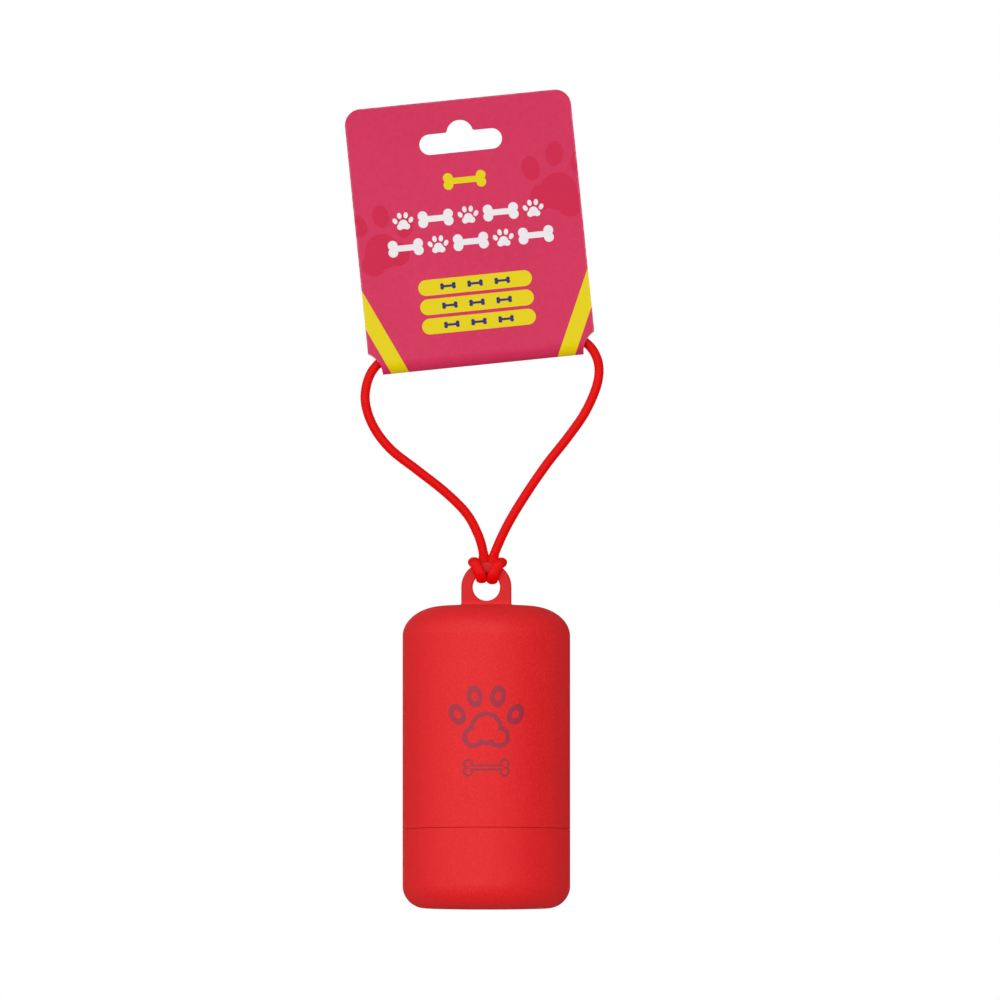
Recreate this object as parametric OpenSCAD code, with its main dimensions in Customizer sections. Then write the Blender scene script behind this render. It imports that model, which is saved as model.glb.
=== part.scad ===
// Pocket dispenser for rolled waste bags, hanging from its header card.
// A screw-capped capsule holds the roll. A cord loop is hitched to the capsule's ear
// and passes through the fold of a card that hangs by the slot near its top.
// Origin: centre of the hang slot. +X right, +Y to the back, +Z up. Millimetres.

/* [Capsule] */
// Outside diameter of the capsule
case_d = 43; // [41:0.5:46]
// Height from the flat base to the crown, without the ear
case_h = 78; // [76:0.5:84]
// Wall thickness of the shell
case_wall = 1.8; // [1.6:0.1:2]
// How far the rounded shoulder reaches in from the side
shoulder_run = 10.8; // [9:0.2:12]
// How far the rounded shoulder drops below the crown
shoulder_drop = 8.2; // [6:0.2:10]
// How much higher the middle of the crown is than its edge
crown_rise = 0.4; // [0.2:0.1:0.8]
// Radius of the rounded bottom edge
base_round = 5.8; // [5:0.2:7]
// Height of the screw cap
cap_h = 20.2; // [19:0.2:22]
// Open line between the cap and the shell
seam_gap = 0.3; // [0.2:0.1:0.5]

/* [Ear] */
// Width of the flat ear on the crown
ear_w = 12.9; // [11:0.1:14]
// Thickness of the ear
ear_t = 3; // [2.6:0.2:3]
// Diameter of the hole that the cord passes through
ear_hole_d = 7; // [6.8:0.1:7.2]
// Height of the hole's centre above the crown
ear_hole_up = 4.4; // [4:0.1:5]

/* [Bag slot] */
// Width of the slot in the back of the shell
slot_w = 6; // [5.5:0.5:7]
// Length of the slot
slot_l = 42; // [38:1:44]
// Height of the slot's centre above the base
slot_up = 45; // [44:0.5:46]

/* [Screw thread] */
// Length of the neck that the cap screws on to
neck_l = 8; // [7:0.5:8]
// Travel of the cap in one turn
thread_lead = 6; // [5:0.5:6]
// Height of a thread ridge
thread_h = 0.85; // [0.7:0.05:0.85]
// Width of a thread ridge at its root
thread_w = 1.3; // [1.1:0.1:1.4]

/* [Bag roll] */
// Diameter of a full roll
roll_d = 31; // [24:0.5:31.5]
// Length of the cardboard core
roll_h = 60; // [56:1:61]
// Outside diameter of the cardboard core
core_d = 15.2; // [14.6:0.2:17]
// Wall thickness of the core
core_wall = 1; // [0.8:0.1:1.2]
// Height of the loose end of the first bag where it leaves the slot
tail_h = 30; // [24:1:30]
// Thickness of the folded film
film_t = 0.5; // [0.4:0.1:0.6]

/* [Cord] */
// Diameter of the braided cord
cord_d = 2.4; // [2.2:0.1:2.4]
// Outside diameter of the sleeve that joins the cord's ends
sleeve_d = 3.2; // [3:0.1:3.2]
// Length of that sleeve
sleeve_l = 14; // [10:1:18]

/* [Header card] */
// Width of the card
card_w = 58.4; // [58:0.2:60]
// Height of the folded card
card_h = 68.5; // [66:0.5:70]
// Thickness of the card stock
card_t = 0.45; // [0.4:0.05:0.5]
// Lean of the card, counter-clockwise from the front
card_tilt = 5.8; // [5:0.1:6.5]
// Radius of the two top corners
card_corner = 4.2; // [3:0.1:6]
// Length of the hang slot
hang_l = 21.3; // [20:0.1:24]
// Height of the hang slot beside its middle bump
hang_h = 5.3; // [5:0.1:6]
// Distance from the slot's centre up to the card's top edge
hang_down = 10.9; // [10:0.1:12]
// Inside radius of the pocket in the fold
pocket_r = 2.7; // [2.7:0.1:3]

/* [Hidden] */

round_fn = 96;
small_fn = 48;
overlap = 0.4; // how deep a joined form reaches into its neighbour
loose = 0.3; // clearance between pieces that move past each other

// Where the capsule hangs, measured from the hang slot
case_x = 6.6;
crown_z = -118.9;
base_z = crown_z - case_h;
case_r = case_d / 2;

// Shell
inner_r = case_r - case_wall;
crown_wall = 2;
seam_z = cap_h + seam_gap;
shoulder_steps = 14;
dome_steps = 4;

// Neck and thread, with the ridges of the shell and of the cap side by side in the grooves
cap_bore_r = case_r - 1.4;
neck_r = cap_bore_r - thread_h - 0.25;
neck_wall = 1.6;
thread_starts = 2;
thread_pitch = thread_lead / thread_starts;
ridge_turn = 96;
ridge_apart = 108;
neck_ridges = 2;
neck_ridge_z = seam_z - neck_l + 2;
cap_ridges = 1;
cap_ridge_z = neck_ridge_z + thread_pitch / 2;

// End cap
floor_t = 2;
cap_cup_r = cap_bore_r - 0.5;
cap_cup_round = 4.6;
cap_bore_l = neck_l + 0.6;

// Spindle that centres the roll, standing on the cap's floor
spindle_foot_r = 13;
spindle_foot_t = 1.2;
spindle_foot_z = floor_t + 0.1;
spindle_h = 42;
spindle_wall = 1.2;
core_bore_r = core_d / 2 - core_wall;
spindle_r = core_bore_r - loose;
roll_z = spindle_foot_z + spindle_foot_t + loose;
film_short = 1; // the wound film ends this far short of the core at each end

// Loose end of the first bag: it leaves the roll on a tangent and passes out through the slot
roll_r = roll_d / 2;
tail_r = roll_r + 0.6;
tail_out_r = case_r + 1.6;
tail_cross_r = case_r - case_wall / 2;
tail_turn = acos(tail_r / tail_cross_r);
tail_wrap = 48; // degrees round the back that the free end follows the shell
tail_z = slot_up - slot_l / 2 + 3;
tail_steps = 8;

// Ear, measured from the centre of its hole
hole_z = crown_z + ear_hole_up;
ear_root = 3; // how far the ear's foot reaches down into the crown

// Header card, measured from the hang slot before it leans
fold_z = hang_down - card_h;
pocket_z = fold_z + card_t + pocket_r;
ply_gap = 0.1; // half the gap between the two panels, where the adhesive is
join_z = fold_z + 25; // above this the two panels lie flat together
notch_r = 6.2;
notch_x = card_w / 2 + 2.9;
notch_z = fold_z + 0.2;
bump_r = 3.4;
bump_up = 2.2;
glue_w = 44;
glue_h = 10;
glue_z = join_z + 9;
fold_steps = 16;

// Cord: the route of the loop, from the hitch's left strand over and through the card's fold
// to its right strand
cord_sides = 8;
cord_rings_between = 2;
sleeve_at = 12; // the route's point under the middle of the joining sleeve
LOOP_ROUTE = [
    [5.8, 2.8, -105.5],
    [4.5, 2.3, -101],
    [1.5, 1.7, -95.5],
    [-4, 1, -90],
    [-11, 0.5, -84.5],
    [-18, 0.2, -79],
    [-22.5, 0, -73],
    [-24.5, 0, -66.5],
    [-23.5, 0, -60.5],
    [-20.5, 0, -56.5],
    [-16, 0, -54.1],
    [-8, 0, -53.2],
    [5.5, 0, -51.9],
    [18, 0, -50.6],
    [25.5, 0, -50],
    [30, 0, -50.5],
    [33.5, 0, -53],
    [35.4, 0, -57.2],
    [35, 0, -62.5],
    [32, 0, -69.5],
    [27.5, 0.2, -76],
    [22, 0.5, -83],
    [16.5, 1.2, -91],
    [12, 2, -98.5],
    [8.8, 2.8, -105.5]
];

// Hitch, measured from the centre of the ear's hole: each strand comes down behind the ear,
// passes forward through the hole, climbs the front, rolls over the ear's top edge and meets
// the other behind the strands. The right side is drawn a little further out.
back_y = ear_t / 2 + cord_d / 2 + 0.1;
bight_y = back_y + cord_d + 0.1;
HITCH_LEFT = [
    [-0.8, back_y, 9],
    [-0.85, back_y, 6],
    [-1.2, back_y + 0.1, 3.2],
    [-1.3, 1.5, 1.5],
    [-1.3, -1.5, 1.5],
    [-1.5, -back_y - 0.1, 3.2],
    [-2.3, -back_y, 5],
    [-3.1, -2.4, 6.6],
    [-3.45, -0.1, 7.25],
    [-3.7, 2.4, 6.8],
    [-3.1, 4.7, 6.2],
    [-1.2, bight_y + 0.15, 6]
];
HITCH_RIGHT = [
    [2.2, back_y, 9],
    [1.68, back_y, 6],
    [1.4, back_y + 0.1, 3.2],
    [1.5, 1.5, 1.35],
    [1.5, -1.5, 1.35],
    [1.75, -back_y - 0.1, 3.1],
    [2.8, -back_y, 5],
    [3.7, -2.35, 6.4],
    [4.15, 0.1, 7],
    [4.3, 2.6, 6.6],
    [3.6, 4.9, 6.1],
    [1.9, bight_y + 0.15, 6]
];

// ---------- shared shapes ----------

// Points of an elliptical arc about a centre, from angle a to angle b
function arc(cx, cy, rx, ry, a, b, steps) =
    [for (i = [0:steps]) let (t = a + (b - a) * i / steps) [cx + rx * cos(t), cy + ry * sin(t)]];

// A closed skin over rings of points that all have the same number of corners
module skin(rings) {
    n = len(rings[0]);
    last = len(rings) - 1;
    points = [for (ring = rings, p = ring) p];
    sides = [
        for (k = [0:last - 1], j = [0:n - 1])
            let (a = k * n + j, b = k * n + (j + 1) % n)
                each [[a, b, a + n], [b, b + n, a + n]]
    ];
    start = [for (j = [1:n - 2]) [0, j + 1, j]];
    end = [for (j = [1:n - 2]) [last * n, last * n + j, last * n + j + 1]];
    polyhedron(points = points, faces = concat(sides, start, end));
}

// A smooth curve through the points of a route
function spline(p0, p1, p2, p3, t) =
    0.5 * (2 * p1 + (p2 - p0) * t + (2 * p0 - 5 * p1 + 4 * p2 - p3) * t * t
        + (3 * p1 - p0 - 3 * p2 + p3) * t * t * t);

function smooth(route, between) =
    let (
        last = len(route) - 1,
        before = 2 * route[0] - route[1],
        after = 2 * route[last] - route[last - 1],
        p = concat([before], route, [after])
    )
    [
        for (k = [1:last], i = [0:between - 1])
            spline(p[k - 1], p[k], p[k + 1], p[k + 2], i / between),
        route[last]
    ];

function unit(v) = v / norm(v);

function headings(path) =
    [
        for (i = [0:len(path) - 1])
            unit(path[min(i + 1, len(path) - 1)] - path[max(i - 1, 0)])
    ];

// Carries one side direction along the path without letting it twist
function carried(ts, ns) =
    len(ns) == len(ts)
        ? ns
        : let (t = ts[len(ns)], n = ns[len(ns) - 1])
            carried(ts, concat(ns, [unit(n - (n * t) * t)]));

module cord(path, d) {
    ts = headings(path);
    ns = carried(ts, [unit(cross(ts[0], [0, 1, 0]))]);
    rings = [
        for (i = [0:len(path) - 1])
            [
                for (j = [0:cord_sides - 1])
                    let (a = (j + 0.5) * 360 / cord_sides)
                        path[i] + d / 2 * (cos(a) * ns[i] + sin(a) * cross(ts[i], ns[i]))
            ]
    ];
    skin(rings);
}

module at_case() {
    translate([case_x, 0, base_z]) children();
}

module at_ear() {
    translate([case_x, 0, hole_z]) children();
}

module at_card() {
    rotate([0, -card_tilt, 0]) children();
}

// ---------- screw thread ----------

// One short ridge of a right-hand thread: an arc that leans with the lead, about the height z
module ridge(root_r, crest_r, z) {
    lean = atan(thread_lead / (2 * PI * crest_r));
    translate([0, 0, z])
        rotate([lean, 0, 0])
            rotate([0, 0, -ridge_turn / 2])
                rotate_extrude(angle = ridge_turn, $fn = round_fn)
                    polygon([
                        [root_r, -thread_w / 2],
                        [crest_r, -thread_w / 4],
                        [crest_r, thread_w / 4],
                        [root_r, thread_w / 2]
                    ]);
}

// Ridges one after another along each start of the thread
module ridges(root_r, crest_r, z, count) {
    for (start = [0:thread_starts - 1], i = [0:count - 1])
        rotate([0, 0, start * 360 / thread_starts + i * ridge_apart])
            ridge(root_r, crest_r, z + thread_lead * i * ridge_apart / 360);
}

// ---------- sub-parts ----------

module shell_profile() {
    outer = arc(
        case_r - shoulder_run, case_h - shoulder_drop, shoulder_run, shoulder_drop - crown_rise,
        0, 90, shoulder_steps
    );
    dome_run = case_r - shoulder_run;
    dome_r = (dome_run * dome_run + crown_rise * crown_rise) / (2 * crown_rise);
    dome = arc(0, case_h - dome_r, dome_r, dome_r, acos(dome_run / dome_r), 90, dome_steps);
    inner = arc(
        case_r - shoulder_run, case_h - shoulder_drop,
        shoulder_run - case_wall, shoulder_drop - crown_wall, 90, 0, shoulder_steps
    );
    neck_inner_r = neck_r - neck_wall;
    step = inner_r - neck_inner_r;
    polygon(concat(
        [[case_r, seam_z]],
        outer,
        [for (i = [1:dome_steps]) dome[i]],
        [[0, case_h - crown_wall]],
        inner,
        [
            [inner_r, seam_z + 1.5 + step],
            [neck_inner_r, seam_z + 1.5],
            [neck_inner_r, seam_z - neck_l],
            [neck_r, seam_z - neck_l],
            [neck_r, seam_z]
        ]
    ));
}

module ear_plate() {
    rotate([90, 0, 0])
        translate([0, 0, -ear_t / 2])
            linear_extrude(ear_t)
                union() {
                    circle(d = ear_w, $fn = round_fn);
                    translate([-ear_w / 2, -ear_hole_up - ear_root])
                        square([ear_w, ear_hole_up + ear_root]);
                }
}

module slot_cut() {
    translate([0, 0, slot_up - slot_l / 2 + slot_w / 2])
        rotate([-90, 0, 0])
            translate([0, 0, inner_r / 2])
                linear_extrude(case_r)
                    union() {
                        circle(d = slot_w, $fn = small_fn);
                        translate([0, -(slot_l - slot_w)]) circle(d = slot_w, $fn = small_fn);
                        translate([-slot_w / 2, -(slot_l - slot_w)])
                            square([slot_w, slot_l - slot_w]);
                    }
}

module body_shell() {
    color("firebrick")
        difference() {
            union() {
                at_case() rotate_extrude($fn = round_fn) shell_profile();
                intersection() {
                    at_ear() ear_plate();
                    translate([case_x - ear_w, -ear_t, crown_z - crown_wall + overlap])
                        cube([2 * ear_w, 2 * ear_t, ear_w * 2]);
                }
                at_case() ridges(neck_r - overlap, neck_r + thread_h, neck_ridge_z, neck_ridges);
            }
            at_ear()
                rotate([90, 0, 0])
                    cylinder(d = ear_hole_d, h = 2 * ear_t, center = true, $fn = small_fn);
            at_case() slot_cut();
        }
}

module cap_profile() {
    outer = arc(case_r - base_round, base_round, base_round, base_round, -90, 0, 12);
    inner = arc(
        cap_cup_r - cap_cup_round, floor_t + cap_cup_round, cap_cup_round, cap_cup_round, 0, -90, 8
    );
    polygon(concat(
        [[0, 0]],
        outer,
        [
            [case_r, cap_h],
            [cap_bore_r, cap_h],
            [cap_bore_r, cap_h - cap_bore_l],
            [cap_cup_r, cap_h - cap_bore_l]
        ],
        inner,
        [[0, floor_t]]
    ));
}

module end_cap() {
    color("firebrick")
        at_case()
            union() {
                rotate_extrude($fn = round_fn) cap_profile();
                ridges(cap_bore_r + overlap, cap_bore_r - thread_h, cap_ridge_z, cap_ridges);
            }
}

module roll_spindle() {
    top = spindle_foot_z + spindle_h;
    color("whitesmoke")
        at_case()
            rotate_extrude($fn = round_fn)
                polygon([
                    [spindle_r - spindle_wall, spindle_foot_z],
                    [spindle_foot_r, spindle_foot_z],
                    [spindle_foot_r, spindle_foot_z + spindle_foot_t],
                    [spindle_r, spindle_foot_z + spindle_foot_t],
                    [spindle_r, top - spindle_wall],
                    [spindle_r - spindle_wall, top],
                    [0, top],
                    [0, top - spindle_wall],
                    [spindle_r - spindle_wall, top - spindle_wall]
                ]);
}

module tube(outer_r, bore_r, h, center = false) {
    difference() {
        cylinder(r = outer_r, h = h, center = center, $fn = round_fn);
        translate([0, 0, center ? 0 : -1])
            cylinder(r = bore_r, h = h + 2, center = center, $fn = round_fn);
    }
}

module roll_core() {
    color("tan") at_case() translate([0, 0, roll_z]) tube(core_d / 2, core_bore_r, roll_h);
}

module bag_roll() {
    color("seagreen")
        at_case()
            translate([0, 0, roll_z + film_short])
                tube(roll_r, core_d / 2, roll_h - 2 * film_short);
}

// The film's edge seen from above: a straight run through the slot, then round the back
module tail_outline() {
    from = [tail_r * sin(tail_turn), tail_r * cos(tail_turn)];
    cross_at = [0, tail_cross_r];
    along = unit(cross_at - from);
    side = [-along[1], along[0]];
    leave = 6; // degrees past the slot where the film has reached its outer radius
    run = [
        for (i = [0:tail_steps])
            let (a = 90 + leave + (tail_wrap - leave) * i / tail_steps)
                [cos(a), sin(a)]
    ];
    polygon(concat(
        [from - side * film_t / 2, cross_at - side * film_t / 2],
        [for (p = run) p * (tail_out_r + film_t)],
        [for (i = [tail_steps:-1:0]) run[i] * tail_out_r],
        [cross_at + side * film_t / 2, from + side * film_t / 2]
    ));
}

module bag_tail() {
    color("seagreen") at_case() translate([0, 0, tail_z]) linear_extrude(tail_h) tail_outline();
}

// The folded sheet seen from its end: a round pocket for the cord, then two panels that close up
module card_section() {
    rise = join_z - pocket_z;
    lean = asin((pocket_r - ply_gap) / norm([rise, pocket_r - ply_gap]))
        - asin(0);
    start = lean;
    inner = arc(0, pocket_z, pocket_r, pocket_r, start, -180 - start, fold_steps);
    outer = arc(0, pocket_z, pocket_r + card_t, pocket_r + card_t, -180 - start, start, fold_steps);
    polygon(concat(
        [[ply_gap, hang_down], [ply_gap, join_z]],
        inner,
        [
            [-ply_gap, join_z],
            [-ply_gap, hang_down],
            [-ply_gap - card_t, hang_down],
            [-ply_gap - card_t, join_z]
        ],
        outer,
        [[ply_gap + card_t, join_z], [ply_gap + card_t, hang_down]]
    ));
}

// The card's outline from the front, with its round top corners
module card_outline() {
    half = card_w / 2;
    for (side = [-1, 1])
        translate([side * (half - card_corner), hang_down - card_corner])
            circle(r = card_corner, $fn = small_fn);
    translate([-half, fold_z - 1]) square([card_w, card_h + 1 - card_corner]);
    translate([-half + card_corner, 0]) square([card_w - 2 * card_corner, hang_down]);
}

module hang_slot_outline() {
    flat = hang_l - hang_h;
    translate([-flat / 2, -hang_h / 2]) square([flat, hang_h]);
    for (side = [-1, 1])
        translate([side * flat / 2, 0]) circle(d = hang_h, $fn = small_fn);
    translate([0, bump_up]) circle(r = bump_r, $fn = small_fn);
}

module through_card(depth) {
    rotate([90, 0, 0]) translate([0, 0, -depth / 2]) linear_extrude(depth) children();
}

module header_card() {
    depth = 2 * (pocket_r + card_t) + 2;
    color("crimson")
        at_card()
            difference() {
                intersection() {
                    translate([-card_w / 2, 0, 0])
                        rotate([90, 0, 90])
                            linear_extrude(card_w) card_section();
                    through_card(depth) card_outline();
                }
                through_card(depth) hang_slot_outline();
                through_card(depth)
                    for (side = [-1, 1])
                        translate([side * notch_x, notch_z]) circle(r = notch_r, $fn = small_fn);
            }
}

module card_adhesive() {
    t = 2 * ply_gap;
    color("ivory")
        at_card()
            translate([-glue_w / 2, -t / 2, glue_z]) cube([glue_w, t, glue_h]);
}

module tether_cord() {
    color("red") cord(smooth(LOOP_ROUTE, cord_rings_between), cord_d);
}

module cord_hitch() {
    path = concat(HITCH_LEFT, [for (i = [len(HITCH_RIGHT) - 1:-1:0]) HITCH_RIGHT[i]]);
    color("red") at_ear() cord(smooth(path, cord_rings_between), cord_d);
}

module cord_sleeve() {
    middle = LOOP_ROUTE[sleeve_at];
    along = LOOP_ROUTE[sleeve_at + 1] - LOOP_ROUTE[sleeve_at - 1];
    color("silver")
        translate(middle)
            rotate([0, atan2(along[0], along[2]), 0])
                tube(sleeve_d / 2, cord_d / 2 + 0.1, sleeve_l, true);
}

header_card();
card_adhesive();
tether_cord();
cord_hitch();
cord_sleeve();
body_shell();
bag_tail();
end_cap();
roll_spindle();
roll_core();
bag_roll();
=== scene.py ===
"""Pocket dispenser for rolled waste bags, hanging from its header card by a cord loop.

Metres throughout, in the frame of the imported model: the origin is the centre of the card's hang
slot, +X right, +Y to the back, +Z up.
"""

import math
import random

import bmesh
import bpy
import numpy as np
from mathutils import Matrix, Vector, noise


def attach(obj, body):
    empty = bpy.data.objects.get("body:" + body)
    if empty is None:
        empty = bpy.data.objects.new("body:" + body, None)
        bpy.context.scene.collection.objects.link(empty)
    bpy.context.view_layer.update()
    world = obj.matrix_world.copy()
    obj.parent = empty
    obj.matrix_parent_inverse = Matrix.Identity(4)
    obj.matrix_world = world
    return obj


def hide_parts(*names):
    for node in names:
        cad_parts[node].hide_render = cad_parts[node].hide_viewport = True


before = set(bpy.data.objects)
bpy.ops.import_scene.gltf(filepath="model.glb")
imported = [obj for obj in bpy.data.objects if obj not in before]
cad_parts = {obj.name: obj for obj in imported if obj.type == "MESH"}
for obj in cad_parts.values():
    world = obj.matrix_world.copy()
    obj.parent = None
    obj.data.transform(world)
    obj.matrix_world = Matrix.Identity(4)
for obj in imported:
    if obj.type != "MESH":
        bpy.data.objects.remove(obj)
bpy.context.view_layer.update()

TAU = 2 * math.pi
MM = 0.001


# ---- sizes, as the solids have them ----

CASE_R = 21.5 * MM
CASE_H = 78 * MM
CASE_WALL = 1.8 * MM
CROWN_WALL = 2 * MM
SHOULDER_RUN = 10.8 * MM
SHOULDER_DROP = 8.2 * MM
CROWN_RISE = 0.4 * MM
BASE_ROUND = 5.8 * MM
CAP_H = 20.2 * MM
SEAM_Z = CAP_H + 0.07 * MM  # screwed home, the cap leaves only a hairline
CASE_FOOT = Vector((6.6 * MM, 0, -196.9 * MM))  # the middle of the flat base

NECK_FOOT = 12.5 * MM
NECK_R = 19 * MM
NECK_WALL = 1.6 * MM
CAP_BORE_R = 20.1 * MM
CAP_STEP_Z = 11.6 * MM
CAP_CUP_R = 19.6 * MM
CAP_CUP_ROUND = 4.6 * MM
FLOOR_T = 2 * MM
THREAD_LEAD = 6 * MM
THREAD_W = 1.3 * MM
NECK_RIDGE_Z = 14.5 * MM
CAP_RIDGE_Z = 16 * MM
RIDGE_H = 0.85 * MM

EAR_W = 12.9 * MM
EAR_T = 3 * MM
EAR_HOLE_R = 3.5 * MM
EAR_HOLE_UP = 4.4 * MM
EAR_HOLE = CASE_FOOT + Vector((0, 0, CASE_H + EAR_HOLE_UP))

SLOT_W = 6 * MM
SLOT_L = 42 * MM
SLOT_UP = 45 * MM

ROLL_R = 15.5 * MM
ROLL_Z = 3.6 * MM
ROLL_H = 60 * MM
CORE_R = 7.6 * MM
CORE_BORE_R = 6.6 * MM
FILM_SHORT = 1 * MM
SPINDLE_R = 6.3 * MM
SPINDLE_WALL = 1.2 * MM
SPINDLE_FOOT_R = 13 * MM
SPINDLE_FOOT_Z = 2.1 * MM
SPINDLE_FOOT_T = 1.2 * MM
SPINDLE_H = 42 * MM

TAIL_Z = 27 * MM
TAIL_H = 30 * MM
TAIL_R = 16.1 * MM
TAIL_CROSS_R = 20.6 * MM
TAIL_OUT_R = 23.35 * MM
TAIL_WRAP = math.radians(48)

CORD_R = 1.2 * MM
SLEEVE_R = 1.6 * MM
SLEEVE_L = 14 * MM
SLEEVE_AT = 12  # the loop's route point under the middle of the sleeve

CARD_W = 58.4 * MM
CARD_T = 0.45 * MM
CARD_TILT = math.radians(5.8)
CARD_CORNER = 4.2 * MM
CARD_TOP = 10.9 * MM
CARD_FOLD = -57.6 * MM
HANG_L = 21.3 * MM
HANG_H = 5.3 * MM
BUMP_R = 3.4 * MM
BUMP_UP = 2.2 * MM
POCKET_R = 2.7 * MM
PLY_GAP = 0.1 * MM
JOIN_Z = -32.6 * MM
NOTCH_R = 6.2 * MM
NOTCH_X = 32.1 * MM
NOTCH_Z = -57.4 * MM

# The loop leaves the hitch on the left, runs over and through the card's fold and comes back
LOOP_ROUTE = [
    (5.8, 2.8, -105.5), (4.5, 2.3, -101), (1.5, 1.7, -95.5), (-4, 1, -90), (-11, 0.5, -84.5),
    (-18, 0.2, -79), (-22.5, 0, -73), (-24.5, 0, -66.5), (-23.5, 0, -60.5), (-20.5, 0, -56.5),
    (-16, 0, -54.1), (-8, 0, -53.2), (5.5, 0, -51.9), (18, 0, -50.6), (25.5, 0, -50),
    (30, 0, -50.5), (33.5, 0, -53), (35.4, 0, -57.2), (35, 0, -62.5), (32, 0, -69.5),
    (27.5, 0.2, -76), (22, 0.5, -83), (16.5, 1.2, -91), (12, 2, -98.5), (8.8, 2.8, -105.5),
]

# The hitch, about the centre of the ear's hole: each strand comes down behind the ear, passes
# forward through the hole, climbs the front, rolls over the ear's edge and meets the other
HITCH_LEFT = [
    (-0.8, 2.8, 9), (-0.72, 2.8, 6.2), (-1.15, 2.9, 3.4), (-1.25, 1.5, 2.05), (-1.22, -1.5, 2.1),
    (-1.62, -2.8, 3.4), (-2.4, -2.7, 5), (-2.98, -2.2, 6.3), (-3.12, -0.1, 6.8), (-3.3, 2.4, 6.5),
    (-2.9, 4.7, 6.1), (-1.2, 5.4, 6),
]
HITCH_RIGHT = [
    (2.2, 2.8, 9), (1.72, 2.8, 6.2), (1.4, 2.9, 3.3), (1.5, 1.5, 1.8), (1.52, -1.5, 1.85),
    (1.78, -2.8, 3.2), (2.68, -2.7, 5), (3.42, -2.2, 6.2), (3.75, 0.1, 6.7), (3.9, 2.6, 6.4),
    (3.4, 4.9, 6.1), (1.9, 5.4, 6),
]


# ---- camera, light and floor ----

def set_up_camera():
    aim = Vector((10.1, 0, -92.1)) * MM
    away = 7.13
    lift = math.radians(-2.2)
    data = bpy.data.cameras.new("camera")
    data.lens = 1000
    data.sensor_width = 36
    data.clip_end = 50
    camera = bpy.data.objects.new("camera", data)
    camera.location = aim + away * Vector((0, -math.cos(lift), math.sin(lift)))
    camera.rotation_euler = (math.pi / 2 - lift, 0, 0)
    bpy.context.scene.collection.objects.link(camera)
    bpy.context.scene.camera = camera
    bpy.context.scene.view_settings.view_transform = "Standard"


def set_up_softbox(name, towards, across, power, glints=False, shades=True, only=None):
    """A far, wide softbox: its light is even over the object and the floor.

    glints lets it show in the gloss, shades lets it light the colours, and only is the one
    piece that it reaches.
    """
    data = bpy.data.lights.new(name, "SUN")
    data.angle = math.radians(across)
    data.energy = power
    light = bpy.data.objects.new(name, data)
    light.rotation_mode = "QUATERNION"
    light.rotation_quaternion = Vector(towards).to_track_quat("Z", "Y")
    light.visible_camera = False
    light.visible_glossy = glints
    light.visible_diffuse = shades
    if only:
        flagged = bpy.data.collections.new(name)
        flagged.objects.link(only)
        light.light_linking.receiver_collection = flagged
    bpy.context.scene.collection.objects.link(light)


def set_up_studio():
    """A dim white tent that the lens sees as plain white.

    Only the key and the front sheen show in every piece's gloss, so that the moulding's
    turned-away sides keep their deep colour. The sheen from behind is for the bag's loose end
    alone: on the moulding it would leave white rims.
    """
    world = bpy.data.worlds.new("studio")
    world.use_nodes = True
    tree = world.node_tree
    tree.nodes.clear()
    pick = tree.nodes.new("ShaderNodeMixShader")
    path = tree.nodes.new("ShaderNodeLightPath")
    tree.links.new(path.outputs["Is Camera Ray"], pick.inputs[0])
    for slot, white in ((1, 0.04), (2, 1)):
        glow = tree.nodes.new("ShaderNodeBackground")
        glow.inputs["Color"].default_value = (white, white, white, 1)
        tree.links.new(glow.outputs[0], pick.inputs[slot])
    out = tree.nodes.new("ShaderNodeOutputWorld")
    tree.links.new(pick.outputs[0], out.inputs[0])
    bpy.context.scene.world = world
    set_up_softbox("tent_front", (-0.04, -1, 0), 178, 1.64)
    set_up_softbox("tent_back", (0.08, 1, 0), 178, 1.52)
    set_up_softbox("key", (-0.32, -1.28, 0.05), 40, 1.28, glints=True)
    set_up_softbox("back_fill", (-0.15, 1.3, 0.15), 40, 1.1)
    set_up_softbox("front_sheen", (-0.4, -1.15, 0.08), 125, 12.0, glints=True, shades=False)
    set_up_softbox(
        "film_sheen", (0.1, 1, 0.2), 60, 5, glints=True, shades=False,
        only=bpy.data.objects["bag_end"],
    )


# ---- shader sums ----

def paint(*chip):
    """A paint chip's 8-bit red, green and blue as the linear colour that a shader takes."""
    shares = [v / 255 for v in chip]
    linear = [v / 12.92 if v <= 0.04045 else ((v + 0.055) / 1.055) ** 2.4 for v in shares]
    return (*linear, 1)


def maths(operation, reflected=False):
    """A method of Value: a maths node of the value and what it is called with."""
    def method(self, *others):
        values = (*others, self) if reflected else (self, *others)
        return self.finish.node(
            "ShaderNodeMath", {"operation": operation}, dict(enumerate(values))
        )
    return method


class Value:
    """A shader socket that can be written in a sum."""

    def __init__(self, finish, socket):
        self.finish = finish
        self.socket = socket

    __add__, __radd__ = maths("ADD"), maths("ADD", reflected=True)
    __sub__, __rsub__ = maths("SUBTRACT"), maths("SUBTRACT", reflected=True)
    __mul__, __rmul__ = maths("MULTIPLY"), maths("MULTIPLY", reflected=True)
    __gt__, __lt__ = maths("GREATER_THAN"), maths("LESS_THAN")
    __abs__ = maths("ABSOLUTE")
    least, most = maths("MINIMUM"), maths("MAXIMUM")
    sine, root, turn_over = maths("SINE"), maths("SQRT"), maths("ARCTAN2")
    wrapped = maths("WRAP")

    def repeated(self, step):
        """Starts again every step, from half a step below to half a step above."""
        return self.wrapped(step / 2, -step / 2)

    def within(self, low, high):
        """0 at low, 1 at high, and held between them."""
        return self.finish.node(
            "ShaderNodeMapRange", {"clamp": True},
            {"Value": self, "From Min": low, "From Max": high},
        )


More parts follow.
